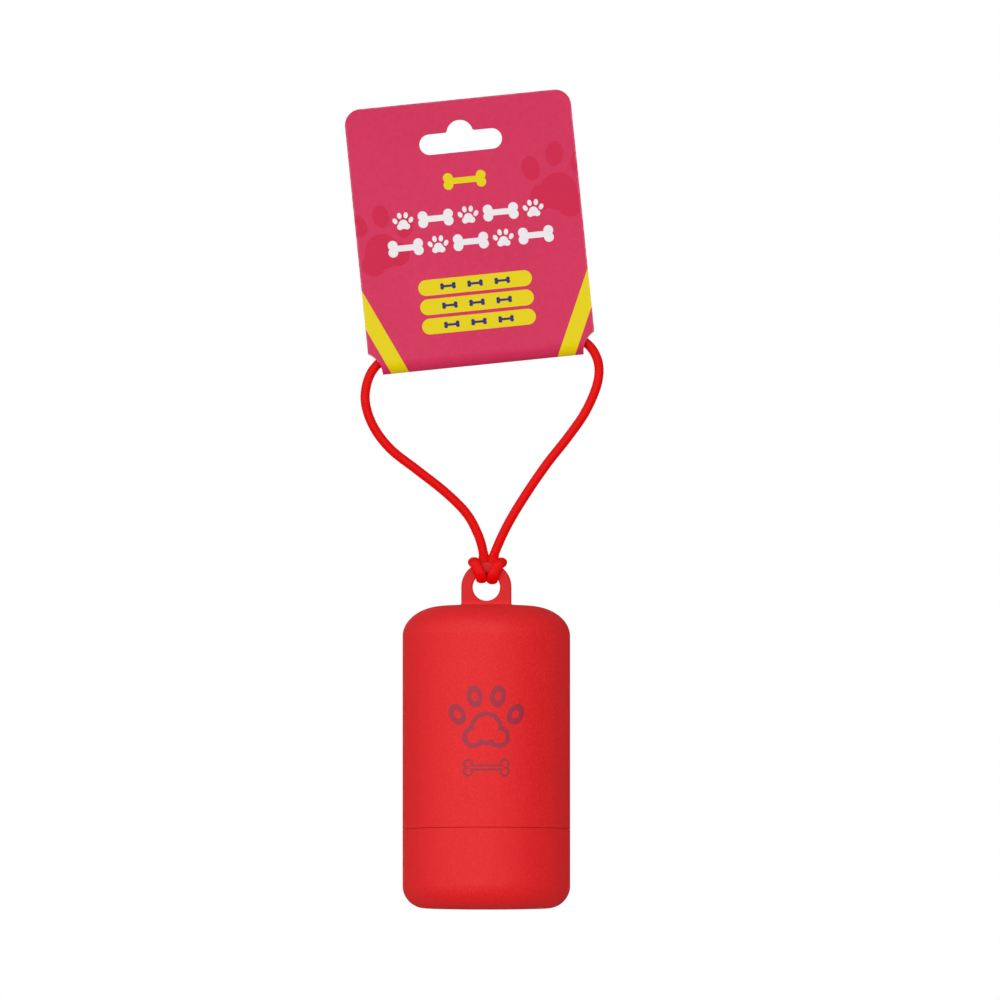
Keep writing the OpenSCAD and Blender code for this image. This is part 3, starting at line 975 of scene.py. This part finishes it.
def shell_outline():
    """The case's section: dome, wall and threaded neck, from the seam round to the seam."""
    run, shoulder = CASE_R - SHOULDER_RUN, CASE_H - SHOULDER_DROP
    outer = bow(run, shoulder, SHOULDER_RUN, SHOULDER_DROP - CROWN_RISE, 0, 90, 34)
    dome_r = (run ** 2 + CROWN_RISE ** 2) / (2 * CROWN_RISE)
    edge = math.degrees(math.acos(run / dome_r))
    dome = bow(0, CASE_H - dome_r, dome_r, dome_r, edge, 90, 10)[1:-1]
    inner = bow(run, shoulder, SHOULDER_RUN - CASE_WALL, SHOULDER_DROP - CROWN_WALL, 90, 0, 18)
    inner_r, neck_in = CASE_R - CASE_WALL, NECK_R - NECK_WALL
    neck_top = SEAM_Z + 1.5 * MM
    lip = eased([
        (inner_r, shoulder), (inner_r, neck_top + (inner_r - neck_in), 0.8 * MM),
        (neck_in, neck_top, 0.8 * MM), (neck_in, NECK_FOOT, 0.35 * MM),
        (NECK_R, NECK_FOOT, 0.45 * MM), (NECK_R, SEAM_Z, 0.25 * MM),
        (CASE_R, SEAM_Z, 0.14 * MM), (CASE_R, shoulder),
    ])
    return outer[1:] + dome + [(0, CASE_H), (0, CASE_H - CROWN_WALL)] + inner[:-1] + lip


def make_shell():
    plastic = moulded_red("shell_plastic", badge=True)
    shell = as_piece(turned("case_shell", shell_outline(), 224), plastic)
    combined(shell, ear_solid(), "UNION")
    combined(shell, ear_skirt(), "UNION")
    add_thread(shell, NECK_R, 1, NECK_RIDGE_Z, 204)
    combined(shell, ear_bore(), "DIFFERENCE")
    combined(shell, slot_cutter(), "DIFFERENCE")
    even_shading(shell)
    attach(shell, "shell")
    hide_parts("body_shell")


# ---- end cap ----

def cap_outline():
    """The cup's section, with a shallow recess and a gate mark in the middle of its underside."""
    outer = bow(CASE_R - BASE_ROUND, BASE_ROUND, BASE_ROUND, BASE_ROUND, -90, 0, 26)
    cup = CAP_CUP_ROUND
    inner = bow(CAP_CUP_R - cup, FLOOR_T + cup, cup, cup, 0, -90, 14)
    gate_z, recess_z = 0.22 * MM, 0.4 * MM
    under = eased([
        (0, gate_z), (1.1 * MM, gate_z, 0.1 * MM), (1.4 * MM, recess_z, 0.1 * MM),
        (11.2 * MM, recess_z, 0.25 * MM), (11.8 * MM, 0, 0.25 * MM), outer[0],
    ])
    rim = eased([
        outer[-1], (CASE_R, CAP_H, 0.14 * MM), (CAP_BORE_R, CAP_H, 0.3 * MM),
        (CAP_BORE_R, CAP_STEP_Z, 0.15 * MM), (CAP_CUP_R, CAP_STEP_Z, 0.15 * MM), inner[0],
    ])
    return under[:-1] + outer + rim[1:-1] + inner + [(0, FLOOR_T)]


def make_cap():
    cap = as_piece(turned("screw_cap", cap_outline(), 224), moulded_red("cap_plastic"))
    add_thread(cap, CAP_BORE_R, -1, CAP_RIDGE_Z, 96)
    even_shading(cap)
    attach(cap, "cap")
    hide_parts("end_cap")


# ---- what is inside ----

def make_spindle():
    top = SPINDLE_FOOT_Z + SPINDLE_H
    foot_top = SPINDLE_FOOT_Z + SPINDLE_FOOT_T
    bore_r, dimple_z = SPINDLE_R - SPINDLE_WALL, top - 0.3 * MM
    outline = eased([
        (bore_r, SPINDLE_FOOT_Z, 0.2 * MM),
        (SPINDLE_FOOT_R, SPINDLE_FOOT_Z, 0.3 * MM), (SPINDLE_FOOT_R, foot_top, 0.4 * MM),
        (SPINDLE_R, foot_top, 0.25 * MM), (SPINDLE_R, top - 1.1 * MM, 0.6 * MM),
        (bore_r, top, 0.6 * MM), (2.2 * MM, top, 0.15 * MM),
        (1.8 * MM, dimple_z, 0.15 * MM), (0, dimple_z), (0, top - SPINDLE_WALL),
        (bore_r, top - SPINDLE_WALL - 0.4 * MM, 0.4 * MM),
    ])
    piece = even_shading(as_piece(turned("roll_post", outline), natural_moulding()))
    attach(piece, "spindle")
    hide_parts("roll_spindle")


def make_core():
    soft = 0.3 * MM
    outline = eased([
        (CORE_BORE_R, ROLL_Z, soft), (CORE_R, ROLL_Z, soft),
        (CORE_R, ROLL_Z + ROLL_H, soft), (CORE_BORE_R, ROLL_Z + ROLL_H, soft),
    ])
    piece = even_shading(as_piece(turned("board_core", outline), spiral_board()))
    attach(piece, "roll")
    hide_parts("roll_core")


def make_roll():
    """Wound film: a loose spiral whose turns stand a little up and down at both ends."""
    rng = random.Random(11)
    turn_step = 0.42 * MM
    turns = int((ROLL_R - CORE_R) / turn_step)
    low, high = ROLL_Z + FILM_SHORT, ROLL_Z + ROLL_H - FILM_SHORT
    proud = [rng.uniform(0, 0.32) * MM for _ in range(turns + 2)]
    sides = 144

    def end_ring(level, part, end, way):
        """A ring of an end face, part of the way across a turn; way is 1 at the top, or -1."""
        bulge = 0.16 * MM * (1 - abs(2 * part - 1) ** 1.5)
        ring = []
        for k in range(sides):
            share = k / sides
            wave = 0.02 * MM * math.sin(7 * TAU * share) ** 2
            r = min(CORE_R + turn_step * (level + part + share), ROLL_R - wave)
            stand = proud[level] + (proud[level + 1] - proud[level]) * share
            z = end - way * 0.36 * MM + way * 0.6 * stand + way * bulge
            ring.append((r * math.cos(TAU * share), r * math.sin(TAU * share), z))
        return ring

    steps = [(level, part) for level in range(turns) for part in (0.12, 0.5, 0.88)]
    rings = [end_ring(*step, low, -1) for step in steps]
    for z in np.linspace(low + 0.5 * MM, high - 0.5 * MM, 60):
        dimple = 0.05 * MM * math.sin(z * 900) * math.sin(z * 2300)
        ring = []
        for a in np.linspace(0, TAU, sides + 1)[:-1]:
            r = ROLL_R - 0.08 * MM - 0.05 * MM * math.sin(5 * a + z * 260) + dimple
            ring.append((r * math.cos(a), r * math.sin(a), z))
        rings.append(ring)
    rings += [end_ring(*step, high, 1) for step in steps[::-1]]
    rings.append(rings[0])
    piece = as_piece(lift(lofted("film_roll", rings, capped=False), CASE_FOOT), thin_film())
    smooth_over(piece.data, 60)
    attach(piece, "roll")
    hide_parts("bag_roll")


def tail_line():
    """The film's line seen from above: off the roll, out through the slot and round the case."""
    def at(radius, angle):
        return Vector((-radius * math.sin(angle), radius * math.cos(angle)))

    leave = math.radians(8)
    start, cross = at(TAIL_R, -math.acos(TAIL_R / TAIL_CROSS_R)), at(TAIL_CROSS_R, 0)
    line = [start.lerp(cross, t) for t in np.linspace(0, 1, 26)]
    line += [cross.lerp(at(TAIL_OUT_R, leave), t) for t in np.linspace(0, 1, 8)[1:]]
    line += [at(TAIL_OUT_R, a) for a in np.linspace(leave, TAIL_WRAP, 44)[1:]]
    for _ in range(3):
        eased_part = [(a + 2 * b + c) / 4 for a, b, c in zip(line, line[1:], line[2:])]
        line = [line[0], *eased_part, line[-1]]
    return line


def make_tail():
    """The first bag's loose end: film drawn into pleats by the slot and torn at its perforation."""
    line = tail_line()
    steps = [(b - a).length for a, b in zip(line, line[1:])]
    lengths = np.concatenate([[0], np.cumsum(steps)])
    total = lengths[-1]
    slot_mark, gather_reach = 0.0135, 0.009  # metres along the film
    rows = 190

    def ripple(*at):
        return noise.noise(Vector(at))

    points = []
    for i, (here, mark) in enumerate(zip(line, lengths)):
        before, after = line[max(i - 1, 0)], line[min(i + 1, len(line) - 1)]
        ahead = (after - before).normalized()
        out = Vector((-ahead.y, ahead.x))
        past = max((mark - slot_mark) / (total - slot_mark), 0)
        drawn = math.exp(-((mark - slot_mark) / gather_reach) ** 2)
        depth = (0.1 + 0.42 * drawn + 0.24 * past) * MM
        tall = TAIL_H * (0.985 - 0.1 * drawn + 0.02 * past)
        free = past ** 2
        for j in range(rows + 1):
            t = j / rows
            stray = 0.7 * ripple(t * 4.1, mark * 60, 2.3)
            beat = TAU * (9.5 * t + stray + 0.5 * ripple(t * 9, 0, 7.7))
            pleat = math.sin(beat + 0.75 * math.sin(beat))
            uneven = 0.75 + 0.8 * ripple(t * 6.3, mark * 110, 5.1)
            crinkle = noise.turbulence(Vector((mark * 900, 0, t * 24)), 3, True) - 0.5
            off = depth * pleat * uneven + 0.09 * MM * crinkle * (0.4 + 0.6 * (1 - drawn))
            flop = free * (0.7 + 1.5 * max(0, t - 0.7) / 0.3)
            droop = free * 0.9 * MM * max(0, t - 0.75) / 0.25
            torn = 0.0
            if i == len(line) - 1:
                tab = math.cos(TAU * t * 27) > 0.2
                torn = (0.22 * tab + 0.35 * ripple(t * 14, 3.3, 0)) * MM
            x, y = here - ahead * torn + out * (off + flop * MM * 0.6)
            z = TAIL_Z + TAIL_H / 2 + tall * (t - 0.5) - droop
            points.append(CASE_FOOT + Vector((x, y, z)))
    count = rows + 1
    firsts = [i * count + j for i in range(len(line) - 1) for j in range(rows)]
    mesh = mesh_of("bag_end", points, [(a, a + 1, a + count + 1, a + count) for a in firsts])
    piece = as_piece(mesh, thin_film())
    thick = piece.modifiers.new("film", "SOLIDIFY")
    thick.thickness = 0.07 * MM
    thick.offset = 0
    settled(piece)
    smooth_over(piece.data, 60)
    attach(piece, "shell")
    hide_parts("bag_tail")


# ---- header card ----

def fold_line():
    """The middle of the sheet seen from its end, front top edge to back top edge: (y, z)."""
    middle = PLY_GAP + CARD_T / 2
    pocket = Vector((0, CARD_FOLD + CARD_T + POCKET_R))
    radius = POCKET_R + CARD_T / 2
    rise = JOIN_Z - pocket.y
    lean = math.degrees(math.asin((radius - middle) / math.hypot(rise, radius - middle)))
    curl = bow(0, pocket.y, radius, radius, 180 - lean, 360 + lean, 44)
    front = eased([(-middle, CARD_TOP), (-middle, JOIN_Z, 30 * MM), curl[0]], 10)
    back = [(-y, z) for y, z in front[::-1]]
    return np.array(front[:-1] + curl + back[1:])


class FoldedSheet:
    """Where a spot of the flat sheet lies once the sheet is folded."""

    def __init__(self):
        self.line = fold_line()
        self.marks = marks_along(self.line)
        self.length = self.marks[-1]
        ahead = np.gradient(self.line, axis=0)
        ahead /= np.linalg.norm(ahead, axis=1)[:, None]
        self.columns = [*self.line.T, ahead[:, 1], -ahead[:, 0]]

    def place(self, u, s, off):
        """A point off the sheet's middle, outward when off is positive."""
        y, z, ny, nz = (np.interp(s, self.marks, column) for column in self.columns)
        size = math.hypot(ny, nz)
        return Vector((u, y + off * ny / size, z + off * nz / size))


def sheet_side(sheet):
    """The sheet's right-hand edge: round top corner, straight side, the bite, and back up."""
    half = CARD_W / 2
    side = bow(half - CARD_CORNER, CARD_CORNER, CARD_CORNER, -CARD_CORNER, 90, 0, 12)
    bite_top = NOTCH_Z + math.sqrt(NOTCH_R ** 2 - (NOTCH_X - half) ** 2)
    front = len(sheet.line) // 2
    first = np.interp(-bite_top, -sheet.line[:front, 1], sheet.marks[:front])
    for s in np.linspace(first, sheet.length / 2, 40):
        height = np.interp(s, sheet.marks, sheet.line[:, 1])
        away = max(NOTCH_R ** 2 - (height - NOTCH_Z) ** 2, 0)
        side.append((min(half, NOTCH_X - math.sqrt(away)), s))
    return side + [(x, sheet.length - s) for x, s in side[-2::-1]]


def hang_slot_line(sheet, back):
    """The hang slot's outline on the flat sheet: a long slot with a round bump in the middle."""
    flat, high = (HANG_L - HANG_H) / 2, HANG_H / 2
    meet = math.sqrt(BUMP_R ** 2 - (high - BUMP_UP) ** 2)
    rise = math.degrees(math.asin((high - BUMP_UP) / BUMP_R))
    foot_x, foot_turn = meet + 0.35 * MM, 5  # where the bump's small foot rounds begin and end
    line = bow(flat, 0, high, high, -90, 90, 20) + [(foot_x, high)]
    line += bow(0, BUMP_UP, BUMP_R, BUMP_R, rise + foot_turn, 180 - foot_turn - rise, 22)
    line += [(-foot_x, high)] + bow(-flat, 0, high, high, 90, 270, 20)
    return [(x, sheet.length - (CARD_TOP - z) if back else CARD_TOP - z) for x, z in line]


def make_card():
    sheet = FoldedSheet()
    right = sheet_side(sheet)
    outline = right + [(-x, s) for x, s in right[::-1]]
    flat = bmesh.new()
    for loop in (outline, hang_slot_line(sheet, False), hang_slot_line(sheet, True)):
        verts = [flat.verts.new((x, s, 0)) for x, s in loop]
        for a, b in zip(verts, verts[1:] + verts[:1]):
            flat.edges.new((a, b))
    bmesh.ops.remove_doubles(flat, verts=flat.verts, dist=1e-7)
    bmesh.ops.triangle_fill(flat, use_beauty=True, edges=flat.edges)
    for s in sheet.marks[1:-1]:
        bmesh.ops.bisect_plane(
            flat, geom=flat.verts[:] + flat.edges[:] + flat.faces[:],
            plane_co=(0, s, 0), plane_no=(0, 1, 0), dist=1e-7,
        )
    flat.verts.index_update()
    spots = [(v.co.x, v.co.y) for v in flat.verts]
    faces = [[v.index for v in f.verts] for f in flat.faces]
    rim = [[v.index for v in e.verts] for e in flat.edges if len(e.link_faces) == 1]
    flat.free()
    points = [sheet.place(u, s, off) for off in (CARD_T / 2, -CARD_T / 2) for u, s in spots]
    under = len(spots)
    # 0 is the printed side, 1 the inside, 2 the cut edge
    inks = [0] * len(faces) + [1] * len(faces) + [2] * len(rim)
    faces += [[under + k for k in face[::-1]] for face in faces]
    faces += [[a, b, under + b, under + a] for a, b in rim]
    mesh = mesh_of("folded_card", points, faces)
    piece = as_piece(
        mesh, printed_board(),
        board_fibre("card_inside", paint(214, 208, 198), paint(150, 140, 128)),
        board_fibre("card_edge", paint(247, 236, 236), paint(214, 196, 198)),
    )
    mesh.polygons.foreach_set("material_index", inks)
    smooth_over(mesh, 30)
    mesh.transform(Matrix.Rotation(-CARD_TILT, 4, "Y"))
    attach(piece, "card")
    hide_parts("header_card")


def dress_adhesive():
    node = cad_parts["card_adhesive"]
    node.data.materials.clear()
    node.data.materials.append(dried_glue())


def make_floor():
    half, height = 6, -0.45
    corners = [(-half, -half), (half, -half), (half, half), (-half, half)]
    mesh = bpy.data.meshes.new("studio_floor")
    mesh.from_pydata([(x, y, height) for x, y in corners], [], [(0, 1, 2, 3)])
    floor = as_piece(mesh, studio_floor())
    floor.visible_diffuse = False
    floor.visible_glossy = False


set_up_camera()
make_cords()
make_shell()
make_cap()
make_card()
dress_adhesive()
make_spindle()
make_core()
make_roll()
make_tail()
set_up_studio()
make_floor()
